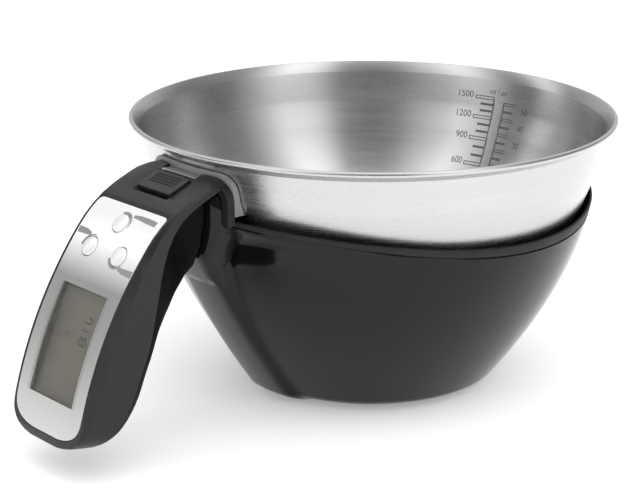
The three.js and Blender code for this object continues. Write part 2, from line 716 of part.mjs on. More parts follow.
function neckShape() {
  const arc = heights(0, 180, 10).map((angle) => {
    const [c, w] = [Math.cos(degrees(angle)), Math.sin(degrees(angle))];
    return [Math.sign(c) * Math.abs(c) ** 0.42, 0.45 + 0.55 * Math.max(w, 0) ** 0.42];
  });
  const outline = new THREE.Shape([[-1, 0], ...arc.reverse(), [1, 0]].map(([u, v]) => new THREE.Vector2(u, v)));
  const bar = new THREE.ExtrudeGeometry(outline, { depth: 1, steps: 14, bevelEnabled: false, curveSegments: 1 });
  const back = rimRadius - 21;
  const column = outward(moved(bar, (p) => {
    const z = neckFoot + (neckTop - neckFoot) * p.z;
    const lean = softMin(1.12 * (z - neckFoot) / (neckBulge - neckFoot), 1, 0.12);
    const front = neckFrontLow + (neckFront - neckFrontLow) * lean;
    p.set(-(back + (front - back) * p.y), p.x * neckHalf(z), z);
  }));
  return cut(column, shellKeepOut(), bracketRoom(), archRoom(), catchRoom(), releaseRoom(), leadRoom(),
    ...neckScrewHoles(screwRadius + 0.2));
}

// Room for the slider's stem and the blade of its nose.
const releaseRoom = () => slab(releaseStem.nose - 0.9, releaseStem.to + releaseTravel + 1,
  releaseStem.halfWidth + slideGap, -3, releaseStem.depth + fit + 1, 4);

const releaseStem = { nose: 11, from: 12.8, to: 17, halfWidth: 5, depth: 10 };

// The spring lies level between the stem and a rib under the front of the handle.
const springLength = 5.4;
const springRadius = 2;
function springStart() {
  const contact = handlePoint(releaseStem.to, 0, 8);
  return { x: contact.x - fit - 0.8, z: contact.z };
}

function fasciaWidthAt(s, grow = 0) {
  const top = (1 - clamp((fasciaTop - grow + topCorner - s) / topCorner) ** 3) ** (1 / 3);
  const corner = fasciaHalfWidth + grow - topCorner * (1 - top);
  return corner * closing(s, fasciaBottom + grow, fasciaCorner, 3);
}

function fasciaShape() {
  const sheet = slab(fasciaTop, fasciaBottom, (s) => fasciaWidthAt(s), 0, fasciaThickness, fasciaSteps, halfWave);
  const pane = slab(windowTop, windowBottom, windowHalfWidth, -3, 3);
  const holes = Object.values(buttonPlaces).map(([s, y]) => holeThrough(s, y, buttonRadius + slideGap, -3, 4));
  return cut(sheet, pane, ...holes);
}

const inFrontOfDoor = () => stood(block(-60, 60, -60, 60, -sideDepthGrip - 2, 40), batteryStation);
const doorShape = () => cut(common(casing, doorRoom(0)), inFrontOfDoor());

add('handle_cover', coverShape(), satinGrey);
add('handle_back', backShape(), mattBlack);
add('neck_housing', neckShape(), glossBlack);
add('fascia', fasciaShape(), silver);
add('battery_door', doorShape(), satinGrey);

// ---- display
const displayStation = (windowTop + windowBottom) / 2;
const lcdHalfLength = (windowBottom - windowTop) / 2 + lcdMargin;
const lcdHalfWidth = windowHalfWidth + lcdMargin;
const lcdDepth = caseWall + 2.8;
const boardDepth = lcdDepth + lcdThickness + 4;

add('display_window', slab(windowTop + fit, windowBottom - fit, windowHalfWidth - fit, 0.3, 1.2), clear);
addAt('lcd_panel', new THREE.BoxGeometry(2 * lcdHalfLength, 2 * lcdHalfWidth, lcdThickness), lcdGreen,
  displayStation, 0, lcdDepth + lcdThickness / 2);
const lcdFrame = cut(
  new THREE.BoxGeometry(2 * lcdHalfLength + 4, 2 * lcdHalfWidth + 4, lcdThickness + 1),
  new THREE.BoxGeometry(2 * lcdHalfLength + 2 * fit, 2 * lcdHalfWidth + 2 * fit, lcdThickness + 3));
addAt('lcd_frame', lcdFrame, mattBlack, displayStation, 0, lcdDepth + lcdThickness / 2 + 0.4);
addAt('contact_strip', new THREE.BoxGeometry(2 * lcdHalfLength - 4, 2.4, 4 - 2 * fit), sleeve,
  displayStation, lcdHalfWidth - 2.5, lcdDepth + lcdThickness + 2);
const mainBoardLength = 2 * lcdHalfLength;
addAt('main_board', new THREE.BoxGeometry(mainBoardLength, 2 * boardHalfWidth, boardThickness), boardGreen,
  displayStation, 0, boardDepth + boardThickness / 2);

// ---- buttons with their switches
const buttonBoardStation = 48;
const buttonBoardDepth = 7;
function buttonShape() {
  const under = -caseWall - fit;
  const flange = buttonRadius + buttonFlange;
  return turned([[0, under - 0.8], [flange, under - 0.8], [flange, under], [buttonRadius, under],
    [buttonRadius, buttonProud - 0.5], [buttonRadius - 0.5, buttonProud], [0, buttonProud]], 28);
}

addAt('button_board', new THREE.BoxGeometry(24, 32, boardThickness), boardGreen,
  buttonBoardStation, 0, buttonBoardDepth + boardThickness / 2);
Object.entries(buttonPlaces).forEach(([name, [s, y]]) => {
  addAt(name, buttonShape(), silver, s, y);
  const switchName = name.replace('button', 'switch');
  const height = 2;
  const body = join(block(-3, 3, -3, 3, 0, height - 0.8), rod(1.6, height - 1, height, 16));
  const place = stand(buttonBoardStation, y, buttonBoardDepth - fit);
  scale.add(place);
  add(switchName, body, mattBlack, place).position.x = buttonBoardStation - s;
});

// ---- release slider and its spring
function releaseShape() {
  const half = (releaseBottom - releaseTop) / 2;
  const middle = (releaseBottom + releaseTop) / 2;
  const cap = block(-half, half, -releaseHalfWidth, releaseHalfWidth, -1.2, releaseProud);
  const grooves = [0, 1, 2, 3].map((i) =>
    block(half - 2.2 - 1.6 * i, half - 1.4 - 1.6 * i, -7.5, 7.5, releaseProud - 0.4, 3));
  const stem = block(middle - releaseStem.to, middle - releaseStem.from, -releaseStem.halfWidth,
    releaseStem.halfWidth, -releaseStem.depth, -1);
  const nose = block(middle - releaseStem.from - 1, middle - releaseStem.nose, -releaseStem.halfWidth,
    releaseStem.halfWidth, -4.4, -1);
  return cut(join(cap, stem, nose), ...grooves);
}
addAt('release_slider', releaseShape(), satinGrey, (releaseTop + releaseBottom) / 2);

function springShape() {
  const turns = 6;
  const pitch = springLength / turns;
  const coil = (i) => [[springRadius - 0.8, i * pitch], [springRadius, (i + 0.5) * pitch]];
  const rings = Array.from({ length: turns }, (_, i) => coil(i)).flat();
  const end = springRadius - 0.8;
  return turned([[0, 0], ...rings, [end, springLength], [0, springLength]], 16).rotateY(-Math.PI / 2);
}
const { x: springX, z: springZ } = springStart();
add('release_spring', springShape(), zinc).position.set(springX, 0, springZ);

// ---- battery
const batteryDepth = 20.4;
addAt('battery', rod(batteryRadius, -batteryThickness / 2, batteryThickness / 2, 32), tin,
  batteryStation, 0, batteryDepth + batteryThickness / 2);
const holder = cut(block(-holderHalf, holderHalf, -holderHalf, holderHalf, -2.4, 2.4),
  rod(batteryRadius + fit, -5, 5, 32), block(-3, 3, batteryRadius - 1, batteryRadius + 1.6, -5, 5));
addAt('battery_holder', holder, mattBlack, batteryStation, 0, batteryDepth + 1);
addAt('battery_plus_contact', block(-2.6, 2.6, -0.25, 0.25, -2, 2), tin, batteryStation, batteryRadius + 0.9,
  batteryDepth + 1);
addAt('battery_minus_contact', rod(6, -0.25, 0.25, 24), tin, batteryStation, 0, batteryDepth - 0.6);

// ---- handle screws and the lead from the load cell
[[28, 13], [28, -13], [66, 0], [114, 0]].forEach(([s, y], i) => {
  const reach = i < 2 ? 14 : depthAt(s) - caseWall - 3;
  addAt(`case_screw_${i + 1}`, screwShape(9, 1.1, 2.1), zinc, s, y, reach);
});
neckScrewPlaces.forEach(([y, z], i) => {
  const screw = add(`neck_screw_${i + 1}`, screwShape(9), zinc);
  screw.rotation.y = -Math.PI / 2;
  screw.position.set(-Math.sqrt((wallRadius(0, z) - shellWall) ** 2 - y * y) + screwHeadHeight + 0.6, y, z);
});

const leadRoute = [
  [-30.6, 0, 15], [-38, 0, 12], [-47, 0, 10.5], [-55, 0, 13], [-62, 0, 20], [-70, 0, 31], [-77.4, 0, 42],
  [-85.8, 0, 54], [-90.8, 0, 63], [-93.6, 0, 70], [-97, 0, 74], [-103, 0, 75], [-109, 0, 75.4],
  [-117, 0, 76], [-124, 0, 72],
].map(([x, y, z]) => new THREE.Vector3(x, y, z));
const leadSection = new THREE.Shape().absarc(0, 0, 0.9, 0, 2 * Math.PI);
const lead = new THREE.ExtrudeGeometry(leadSection, {
  extrudePath: new THREE.CatmullRomCurve3(leadRoute), steps: 44, bevelEnabled: false, curveSegments: 4,
});
add('load_cell_lead', lead, sleeve);

// ---- stand the scale on its feet, with the origin under the middle of its outline
scale.updateMatrixWorld(true);
const outline = new THREE.Box3().setFromObject(scale);
scale.position.x = -(outline.min.x + outline.max.x) / 2;

export default scale;
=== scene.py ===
import json
import math
import bmesh
import bpy
import numpy as np
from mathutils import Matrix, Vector


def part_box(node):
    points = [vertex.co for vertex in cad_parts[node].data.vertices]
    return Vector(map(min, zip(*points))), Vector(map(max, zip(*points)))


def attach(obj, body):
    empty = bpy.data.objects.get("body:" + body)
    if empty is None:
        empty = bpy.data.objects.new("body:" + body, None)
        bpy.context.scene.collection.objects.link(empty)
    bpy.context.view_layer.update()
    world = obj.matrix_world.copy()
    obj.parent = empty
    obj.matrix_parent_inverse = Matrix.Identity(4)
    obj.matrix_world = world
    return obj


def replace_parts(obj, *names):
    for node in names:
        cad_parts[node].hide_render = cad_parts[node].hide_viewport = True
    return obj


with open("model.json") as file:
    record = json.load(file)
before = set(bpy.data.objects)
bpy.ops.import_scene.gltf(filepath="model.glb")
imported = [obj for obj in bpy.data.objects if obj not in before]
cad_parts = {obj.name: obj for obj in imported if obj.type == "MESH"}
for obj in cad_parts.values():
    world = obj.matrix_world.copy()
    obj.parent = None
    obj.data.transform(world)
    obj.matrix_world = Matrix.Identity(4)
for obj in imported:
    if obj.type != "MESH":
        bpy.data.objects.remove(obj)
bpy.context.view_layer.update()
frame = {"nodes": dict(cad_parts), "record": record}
nodes = frame["nodes"]
bowlLow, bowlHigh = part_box("bowl")
axisX = (bowlLow.x + bowlHigh.x) / 2  # the bowl's axis stands here, at y = 0
mm = 0.001
print("frame loaded, bowl axis at", round(axisX, 4))


# shader maths: a socket that adds, multiplies and takes powers
class Wire:
    def __init__(self, owner, socket):
        self.owner = owner
        self.socket = socket

    def maths(self, operation, other):
        return self.owner.node("ShaderNodeMath", {"operation": operation}, {0: self, 1: other})

    def __add__(self, other): return self.maths("ADD", other)
    def __radd__(self, other): return self.maths("ADD", other)
    def __mul__(self, other): return self.maths("MULTIPLY", other)
    def __rmul__(self, other): return self.maths("MULTIPLY", other)
    def __pow__(self, other): return self.maths("POWER", other)

    def out(self, name):
        return Wire(self.owner, self.socket.node.outputs[name])


class NodeTree:
    def __init__(self, tree):
        self.tree = tree

    def node(self, kind, settings=None, inputs=None):
        # Settings come first, then each input takes a value or a link; the first output is handed back.
        made = self.tree.nodes.new(kind)
        for key, value in (settings or {}).items():
            if key == "stops":
                ramp = made.color_ramp.elements
                while len(ramp) < len(value):
                    ramp.new(0.5)
                for stop, (place, shade) in zip(ramp, value):
                    stop.position = place
                    stop.color = (shade, shade, shade, 1) if np.isscalar(shade) else (*shade, 1)
            else:
                setattr(made, key, value)
        for key, value in (inputs or {}).items():
            if isinstance(value, Wire):
                self.tree.links.new(value.socket, made.inputs[key])
            else:
                made.inputs[key].default_value = value
        return Wire(self, made.outputs[0])

    def spread(self, wire, low, high, toLow, toHigh):
        # Maps low..high to toLow..toHigh and holds both ends.
        return self.node("ShaderNodeMapRange", {"clamp": True}, {
            "Value": wire, "From Min": low, "From Max": high, "To Min": toLow, "To Max": toHigh})

    def blend(self, factor, first, second, mode="MIX"):
        return self.node("ShaderNodeMix", {"data_type": "RGBA", "blend_type": mode},
                         {0: factor, 6: first, 7: second}).out(2)


class Finish(NodeTree):
    # A material with one Principled shader; fixed values are set on the shader itself.
    fedSockets = {"colour": "Base Color", "roughness": "Roughness", "normal": "Normal", "alpha": "Alpha"}

    def __init__(self, name, fixed):
        self.material = bpy.data.materials.new(name)
        self.material.use_nodes = True
        super().__init__(self.material.node_tree)
        self.shader = self.tree.nodes["Principled BSDF"]
        for socket, value in fixed.items():
            self.shader.inputs[socket].default_value = value
        self.material.diffuse_color = fixed["Base Color"]

    def feed(self, **wires):
        for key, wire in wires.items():
            self.tree.links.new(wire.socket, self.shader.inputs[self.fedSockets[key]])
        return self.material

    def place(self, centre=(0, 0, 0), scale=(1, 1, 1)):
        spot = self.node("ShaderNodeTexCoord").out("Object")
        moved = self.node("ShaderNodeVectorMath", {"operation": "SUBTRACT"}, {0: spot, 1: centre})
        return self.node("ShaderNodeVectorMath", {"operation": "MULTIPLY"}, {0: moved, 1: scale})

    def noise(self, vector, scale, detail=3.0, roughness=0.55):
        return self.node("ShaderNodeTexNoise", {}, {
            "Vector": vector, "Scale": scale, "Detail": detail, "Roughness": roughness})

    def bump(self, height, distance, strength=1.0):
        return self.node("ShaderNodeBump", {}, {"Height": height, "Distance": distance, "Strength": strength})

    def gloss(self, wire, span, roughness, shares):
        # The roughness swings between two shares of its middle value.
        return self.spread(wire, *span, roughness * shares[0], roughness * shares[1])

    def tone(self, wire, span, shade, shares, warm=0.0):
        # The grey swings between two shares of its shade.
        swing = self.spread(wire, *span, 0.0, 1.0)
        return self.blend(swing, grey(shade * shares[0], warm), grey(shade * shares[1], warm))


def grey(value, warm=0.0):
    return (value * (1 + warm), value, value * (1 - warm), 1)


# Pattern scales are in waves per metre; a span is the stretch of noise that a swing uses.
mouldedValues = {"cloud": 28.0, "smear": 90.0, "stretch": (1, 1, 3), "glossSpan": (0.35, 0.68),
                 "toneSpan": (0.35, 0.7), "gloss": (0.86, 1.18), "tone": (0.9, 1.12)}
brushedValues = {"cloud": 22.0, "span": (0.3, 0.7), "gloss": (0.8, 1.25), "tone": (0.94, 1.05)}
spunValues = {"anisotropy": 0.75, "turned": 0.25, "stretch": 3.0, "turnShare": 0.004, "lines": 700.0,
              "broad": 60.0, "cloud": 16.0, "span": (0.35, 0.65), "gloss": (0.82, 1.22), "tone": (0.95, 1.04),
              "depth": 0.00002}
plateValues = {"metallic": 0.55, "lines": 1500.0, "span": (0.3, 0.7), "gloss": (0.9, 1.15),
               "heights": (0.017, 0.1), "veil": 0.06, "depth": 0.000004,
               # greys by height below paint the reflection of overhead light on the bent plate
               "tones": [(0.0, (0.56, 0.56, 0.55)), (0.3, (0.5, 0.5, 0.49)), (0.52, 0.36), (0.68, 0.3),
                         (0.76, 0.62), (0.84, 0.96), (1.0, 0.98)]}
glassValues = {"shade": (0.2, 0.2, 0.17, 1), "smear": 120.0, "stretch": (1, 1, 2), "roughness": (0.05, 0.14),
               "alpha": (0.16, 0.26), "glossSpan": (0.4, 0.7), "alphaSpan": (0.3, 0.8)}


def mouldedPlastic(name, shade, roughness, grain, grainDepth, warm=0.0, level=0.5):
    # Fine moulded grain, cloudy changes of gloss from handling, and a slightly uneven colour.
    v = mouldedValues
    look = Finish(name, {"Base Color": grey(shade, warm), "Roughness": roughness,
                         "Specular IOR Level": level})
    spot = look.place()
    fine = look.noise(spot, grain, 2.0)
    cloud = look.noise(spot, v["cloud"], 4.0)
    smear = look.noise(look.place(scale=v["stretch"]), v["smear"])
    gloss = look.gloss(cloud * 0.7 + smear * 0.3, v["glossSpan"], roughness, v["gloss"])
    colour = look.tone(cloud, v["toneSpan"], shade, v["tone"], warm)
    return look.feed(colour=colour, roughness=gloss, normal=look.bump(fine, grainDepth))


def brushedMetal(name, shade, roughness, lineScale, along, lineDepth, warm=0.0, metallic=1.0):
    # Brush lines run across the stretched direction; they change both gloss and height.
    v = brushedValues
    look = Finish(name, {"Base Color": grey(shade, warm), "Metallic": metallic, "Roughness": roughness})
    lines = look.noise(look.place(scale=along), lineScale, 4.0, 0.7)
    cloud = look.noise(look.place(), v["cloud"])
    gloss = look.gloss(lines * 0.6 + cloud * 0.4, v["span"], roughness, v["gloss"])
    colour = look.tone(lines, v["span"], shade, v["tone"], warm)
    return look.feed(colour=colour, roughness=gloss, normal=look.bump(lines, lineDepth))


def spunSteel(name, shade, roughness):
    # Spun bowl: hair lines run round the axis, so the pattern changes with radius and height only.
    v = spunValues
    look = Finish(name, {"Base Color": grey(shade), "Metallic": 1.0, "Roughness": roughness,
                         "Anisotropic": v["anisotropy"], "Anisotropic Rotation": v["turned"]})
    spot = look.place((axisX, 0, 0))
    x = look.node("ShaderNodeSeparateXYZ", {}, {0: spot})
    y, z = x.out(1), x.out(2)
    radius = (x * x + y * y) ** 0.5
    turn = y.maths("ARCTAN2", x)
    ring = look.node("ShaderNodeCombineXYZ", {}, {
        0: radius * v["stretch"], 1: z * v["stretch"], 2: turn * v["turnShare"]})
    lines = look.noise(ring, v["lines"], 4.0, 0.72)
    broad = look.noise(ring, v["broad"], 2.0)
    cloud = look.noise(spot, v["cloud"])
    gloss = look.gloss(lines * 0.5 + broad * 0.2 + cloud * 0.3, v["span"], roughness, v["gloss"])
    colour = look.tone(lines * 0.7 + broad * 0.3, v["span"], shade, v["tone"])
    return look.feed(colour=colour, roughness=gloss, normal=look.bump(lines, v["depth"], 0.5))


def frontPlate(name, roughness):
    # Brushed plate with a painted reflection: its grey follows the height, bright at the upper bend, dark in
    # the middle and lighter at the lower end, as overhead light mirrors in the curve.
    v = plateValues
    look = Finish(name, {"Base Color": grey(0.7), "Metallic": v["metallic"], "Roughness": roughness})
    spot = look.place()
    lines = look.noise(spot, v["lines"], 4.0, 0.7)
    height = look.node("ShaderNodeSeparateXYZ", {}, {0: spot}).out(2)
    share = look.spread(height, *v["heights"], 0.0, 1.0)
    # painted reflection: a grey for each height, bright at the bend, dark in the middle, lighter at the foot
    base = look.node("ShaderNodeValToRGB", {"stops": v["tones"]}, {0: share})
    colour = look.blend(look.spread(lines, *v["span"], 0.0, v["veil"]), base, grey(0.5))
    gloss = look.gloss(lines, v["span"], roughness, v["gloss"])
    return look.feed(colour=colour, roughness=gloss, normal=look.bump(lines, v["depth"]))


def windowGlass(name):
    # Clear display window: mostly see-through, faintly smeared.
    v = glassValues
    look = Finish(name, {"Base Color": v["shade"], "Roughness": 0.08, "Alpha": 0.2})
    smear = look.noise(look.place(scale=v["stretch"]), v["smear"], 4.0)
    return look.feed(roughness=look.spread(smear, *v["glossSpan"], *v["roughness"]),
                     alpha=look.spread(smear, *v["alphaSpan"], *v["alpha"]))


finishes = {
    "bowl_steel": spunSteel("spunSteel", 0.58, 0.27),
    "bracket_grey": mouldedPlastic("bracketGrey", 0.22, 0.42, 900.0, 0.00003, warm=0.04),
    "catch_zinc": brushedMetal("catchZinc", 0.6, 0.32, 500.0, (1, 12, 1), 0.00002),
    "gloss_shell": mouldedPlastic("glossShell", 0.004, 0.1, 260.0, 0.000004, level=0.27),
    "matt_black": mouldedPlastic("mattBlack", 0.005, 0.55, 1400.0, 0.00003, level=0.35),
    "handle_satin": mouldedPlastic("handleSatin", 0.013, 0.33, 1300.0, 0.00002, level=0.3),
    # handle underside: the black is the plastic's own colour; its very low base and shine are painted shade
    # under the handle's arch
    "handle_black": mouldedPlastic("handleBlack", 0.002, 0.5, 1300.0, 0.00002, level=0.1),
    "dull_black": mouldedPlastic("dullBlack", 0.014, 0.6, 1200.0, 0.00003),
    "fascia_silver": frontPlate("fasciaSilver", 0.3),
    "button_silver": brushedMetal("buttonSilver", 0.86, 0.3, 1500.0, (1, 1, 1), 0.000003, metallic=0.4),
    "lcd": mouldedPlastic("lcdGround", 0.17, 0.5, 1800.0, 0.00001, warm=0.12),
    "rubber_feet": mouldedPlastic("rubberFeet", 0.02, 0.8, 900.0, 0.00006),
    "cell_aluminium": brushedMetal("cellAluminium", 0.6, 0.35, 400.0, (1, 9, 9), 0.00003),
    "screw_zinc": brushedMetal("screwZinc", 0.55, 0.3, 900.0, (1, 1, 1), 0.00001),
    "board_green": mouldedPlastic("boardGreen", 0.05, 0.45, 500.0, 0.00003),
    "battery_metal": brushedMetal("batteryMetal", 0.62, 0.28, 900.0, (1, 1, 1), 0.00001, warm=0.03),
    "sleeve_black": mouldedPlastic("sleeveBlack", 0.02, 0.6, 1200.0, 0.00004),
    "window": windowGlass("windowGlass"),
    "markGrey": mouldedPlastic("markGrey", 0.10, 0.45, 900.0, 0.00001),
    "grooveGrey": mouldedPlastic("grooveGrey", 0.24, 0.5, 900.0, 0.00002),
    "digitInk": mouldedPlastic("digitInk", 0.02, 0.6, 900.0, 0.00001),
    "faintInk": mouldedPlastic("faintInk", 0.07, 0.6, 900.0, 0.00001),
}
print("finishes made:", len(finishes))

slotOf = {part["node"]: part["material_slot"] for part in frame["record"]["subparts"]}
bodyOf = {node: body for body, members in frame["record"]["behaviour"]["bodies"].items() for node in members}


def dress(piece, finishName):
    piece.data.materials.clear()
    piece.data.materials.append(finishes[finishName])


def addPiece(name, mesh, body, slotName, finishName=None):
    piece = bpy.data.objects.new(name, mesh)
    bpy.context.scene.collection.objects.link(piece)
    dress(piece, finishName or slotName)
    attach(piece, body)
    return piece


for nodeName, nodeObject in nodes.items():
    dress(nodeObject, slotOf[nodeName])

# smooth versions of the moulded parts: the angle past which an edge stays sharp, and the bevel's width
smoothNodes = {"handle_cover": (24, 0.0), "handle_back": (24, 0.0), "neck_housing": (24, 0.0),
               "fascia": (30, 0.0), "battery_door": (24, 0.0), "release_slider": (30, 0.0003),
               "bowl_bracket": (30, 0.0003), "bowl_catch": (30, 0.0003), "zero_button": (30, 0.0),
               "mode_button": (30, 0.0), "unit_button": (30, 0.0), "base_cover": (30, 0.0),
               "display_window": (30, 0.0)}
copyValues = {"merge": 0.00002, "sliver": 0.00001, "bevelAngle": 40}


def smoothCopy(nodeName, sharp, bevel):
    # A copy of a CAD solid with its points merged, so that curved faces shade smoothly.
    mesh = nodes[nodeName].data.copy()
    shape = bmesh.new()
    shape.from_mesh(mesh)
    bmesh.ops.remove_doubles(shape, verts=shape.verts, dist=copyValues["merge"])
    bmesh.ops.dissolve_degenerate(shape, edges=shape.edges, dist=copyValues["sliver"])
    shape.to_mesh(mesh)
    shape.free()
    mesh.shade_smooth()
    mesh.set_sharp_from_angle(angle=math.radians(sharp))
    first, *rest = nodeName.split("_")
    pieceName = first + "".join(word.title() for word in rest) + "Smooth"
    piece = addPiece(pieceName, mesh, bodyOf[nodeName], slotOf[nodeName])
    if bevel:
        edge = piece.modifiers.new("edge", "BEVEL")
        edge.width = bevel
        edge.segments = 2
        edge.limit_method = "ANGLE"
        edge.angle_limit = math.radians(copyValues["bevelAngle"])
        edge.harden_normals = True
    piece.modifiers.new("weighted", "WEIGHTED_NORMAL").keep_sharp = True
    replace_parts(piece, nodeName)


for nodeName, (sharp, bevel) in smoothNodes.items():
    smoothCopy(nodeName, sharp, bevel)
print("smooth copies made")

# sheets made from grids of points
sheetValues = {"merge": 0.000002, "sharp": 35}


def quadsOf(index):
    # Each cell of a grid of point numbers gives one quad.
    corners = [index[:-1, :-1], index[:-1, 1:], index[1:, 1:], index[1:, :-1]]
    return np.stack(corners, axis=-1).reshape(-1, 4)


def gridPiece(name, points, body, slotName, replaced, wrap):
    # A sheet of quads over a grid of points, closed on itself in each direction that wraps.
    index = np.arange(points.shape[0] * points.shape[1]).reshape(points.shape[:2])
    if wrap[0]:
        index = np.vstack([index, index[:1]])
    if wrap[1]:
        index = np.hstack([index, index[:, :1]])
    mesh = bpy.data.meshes.new(name)
    mesh.from_pydata(points.reshape(-1, 3).tolist(), [], quadsOf(index).tolist())
    shape = bmesh.new()
    shape.from_mesh(mesh)
    bmesh.ops.remove_doubles(shape, verts=shape.verts, dist=sheetValues["merge"])
    bmesh.ops.recalc_face_normals(shape, faces=shape.faces)
    shape.to_mesh(mesh)
    shape.free()
    mesh.shade_smooth()
    mesh.set_sharp_from_angle(angle=math.radians(sheetValues["sharp"]))
    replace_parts(addPiece(name, mesh, body, slotName), replaced)


def joinPatches(name, patches, body, slotName, finishName):
    # Several grids of points become one mesh of quads.
    points, faces, start = [], [], 0
    for patch in patches:
        count = patch.shape[0] * patch.shape[1]
        faces.append(quadsOf(np.arange(count).reshape(patch.shape[:2]) + start))
        points.append(patch.reshape(-1, 3))
        start += count
    mesh = bpy.data.meshes.new(name)
    mesh.from_pydata(np.vstack(points).tolist(), [], np.vstack(faces).tolist())
    addPiece(name, mesh, body, slotName, finishName)


def bezier(points, count):
    # Bernstein sum over control points.
    t = np.linspace(0, 1, count)[:, None]
    points = np.array(points, float)
    order = len(points) - 1
    return sum(math.comb(order, k) * (1 - t) ** (order - k) * t ** k * points[k] for k in range(order + 1))


def leftNormals(line):
    step = np.gradient(line, axis=0)
    step /= np.linalg.norm(step, axis=1)[:, None]
    return np.stack([-step[:, 1], step[:, 0]], axis=1)


def offsetLine(line, distance):
    # Each point moves along the line's left normal, and none crosses the axis.
    moved = line + distance * leftNormals(line)
    moved[:, 0] = np.maximum(moved[:, 0], 0)
    return moved


# bowl: a spun profile turned round its axis
bowlValues = {"rim": 104.9, "top": 118.4, "bead": 1.2, "beadArc": (-80, 115), "flange": 3.8, "floor": 40,
              "base": 43.2, "shoulder": 88.5, "inset": 11, "taper": 3.4, "flareDrop": 4.5, "floorPull": 0.48,
              "shoulderIn": 0.17, "shoulderUp": 0.42, "waistOut": 0.6, "waistDown": 3, "flareIn": 1,
              "flareDown": 4, "wall": 0.8, "turns": 256}


def bowlSkin():
    # Flat floor, round flank, slight waist under the rim: three joined Bezier arcs in (radius, height).
    v = bowlValues
    floor, base, low = v["floor"], v["base"], v["shoulder"]
    shoulder, flange, top = v["rim"] - v["inset"], v["rim"] - v["flange"], v["top"] - v["flareDrop"]
    side, rise, middle = shoulder - floor, low - base, (low + top) / 2
    narrow = flange - v["taper"]
    flat = np.linspace((0, base), (floor, base), 10)
    flank = bezier([(floor, base), (floor + v["floorPull"] * side, base),
                    (shoulder - v["shoulderIn"] * side, base + v["shoulderUp"] * rise), (shoulder, low)], 60)
    joint = (narrow + v["waistOut"], middle)
    waist = bezier([(shoulder, low), (narrow, middle - v["waistDown"]), joint], 16)
    flare = bezier([joint, (flange - v["flareIn"], top - v["flareDown"]), (flange, top)], 16)
    return np.vstack([flat, flank[1:], waist[1:], flare[1:]])


def turnProfile(profile, count):
    # Point (r, h) goes to (axis + r cos a, r sin a, h) for every angle a.
    angle = np.linspace(0, 2 * np.pi, count, endpoint=False)[:, None]
    radius, height = profile[:, 0][None, :], profile[:, 1][None, :]
    return np.stack([radius * np.cos(angle) * mm + axisX, radius * np.sin(angle) * mm,
                     np.broadcast_to(height * mm, (count, len(profile)))], axis=-1)


outerSkin = bowlSkin()
innerSkin = offsetLine(outerSkin, bowlValues["wall"])
innerSkin[0, 0] = 0


def buildBowl():
    v = bowlValues
    angle = np.radians(np.linspace(*v["beadArc"], 16))
    bead = np.stack([v["rim"] + v["bead"] * (np.cos(angle) - 1),
                     v["top"] + v["bead"] * (np.sin(angle) - 1)], axis=1)
    profile = np.vstack([outerSkin, bead, innerSkin[::-1]])
    gridPiece("spunBowl", turnProfile(profile, v["turns"]), "bowl", "bowl_steel", "bowl", (True, False))


buildBowl()
print("bowl made")

# measure marks on the bowl's inner wall: angles in degrees from +X, heights and letters in millimetres
markValues = {"lift": 0.04, "line": 0.4, "barHalf": 0.5, "ruleWidth": 0.22, "barEnd": 0.25,
              "volumes": {1500: 105.3, 1200: 96.2, 900: 86.6, 600: 75.3}, "volumeStep": 100, "leftRule": 10.4,
              "leftLong": 16.2, "leftShort": 14.4, "leftTall": 1.7, "leftSpan": (74.4, 106.2),
              "rightRule": 6.9, "rightLong": 3.0, "rightShort": 3.6, "rightTall": 1.5,
              "rightSpan": (74.6, 104.2), "rightFirst": 75.5, "rightStep": 3.5, "rightCount": 9,
              "ounces": {50: 101.5, 40: 93.8, 30: 86.2}, "letters": 4.2, "letterRadius": 97.0,
              "volumeAngle": 16.9, "volumeLift": 0.7, "ounceAngle": 0.9, "unitLetters": 3.4,
              "unitRadius": 98.0, "unitAngle": 12.0, "unitHeight": 108.3}


def onWall(angle, height):
    # The point stands just inside the wall.
    radius = np.interp(height, innerSkin[:, 1], innerSkin[:, 0]) - markValues["lift"]
    a = np.radians(angle)
    return np.stack([radius * np.cos(a) * mm + axisX, radius * np.sin(a) * mm, height * mm], axis=-1)


def wallMark(angle, height):
    # A patch of the wall between two angles and two heights.
    return onWall(*np.meshgrid(np.linspace(*angle, 8), np.linspace(*height, 3), indexing="ij"))


def bar(near, far, middle):
    half = markValues["barHalf"]
    return wallMark((near, far), (middle - half, middle + half))


def outlined(near, far, middle, tall):
    # An open bar: two long edges and a short end.
    v = markValues
    low, high = middle - tall / 2, middle + tall / 2
    return [wallMark((near, far), (low, low + v["line"])), wallMark((near, far), (high - v["line"], high)),
            wallMark((far - v["barEnd"], far), (low, high))]


def letterMesh(words, size):
    # Letters as a flat mesh, middle of the left side at the origin.
    curve = bpy.data.curves.new("words", "FONT")
    curve.body = words
    curve.size = size
    curve.align_y = "CENTER"
    holder = bpy.data.objects.new("words", curve)
    bpy.context.scene.collection.objects.link(holder)
    bpy.context.view_layer.update()
    mesh = bpy.data.meshes.new_from_object(holder.evaluated_get(bpy.context.evaluated_depsgraph_get()))
    bpy.data.objects.remove(holder)
    points = np.zeros(len(mesh.vertices) * 3)
    mesh.vertices.foreach_get("co", points)
    return mesh, points.reshape(-1, 3)


def wallLetters(name, words, size, angle, height, radius, right=False):
    # Flat letter points (across, up) bend round the wall: across divided by the radius is a turn in radians.
    mesh, flat = letterMesh(words, size)
    if right:
        flat[:, 0] -= flat[:, 0].max()
    bent = onWall(angle - np.degrees(flat[:, 0] / radius), height + flat[:, 1])
    mesh.vertices.foreach_set("co", bent.reshape(-1))
    mesh.update()
    addPiece(name, mesh, "bowl", "bowl_steel", "markGrey")


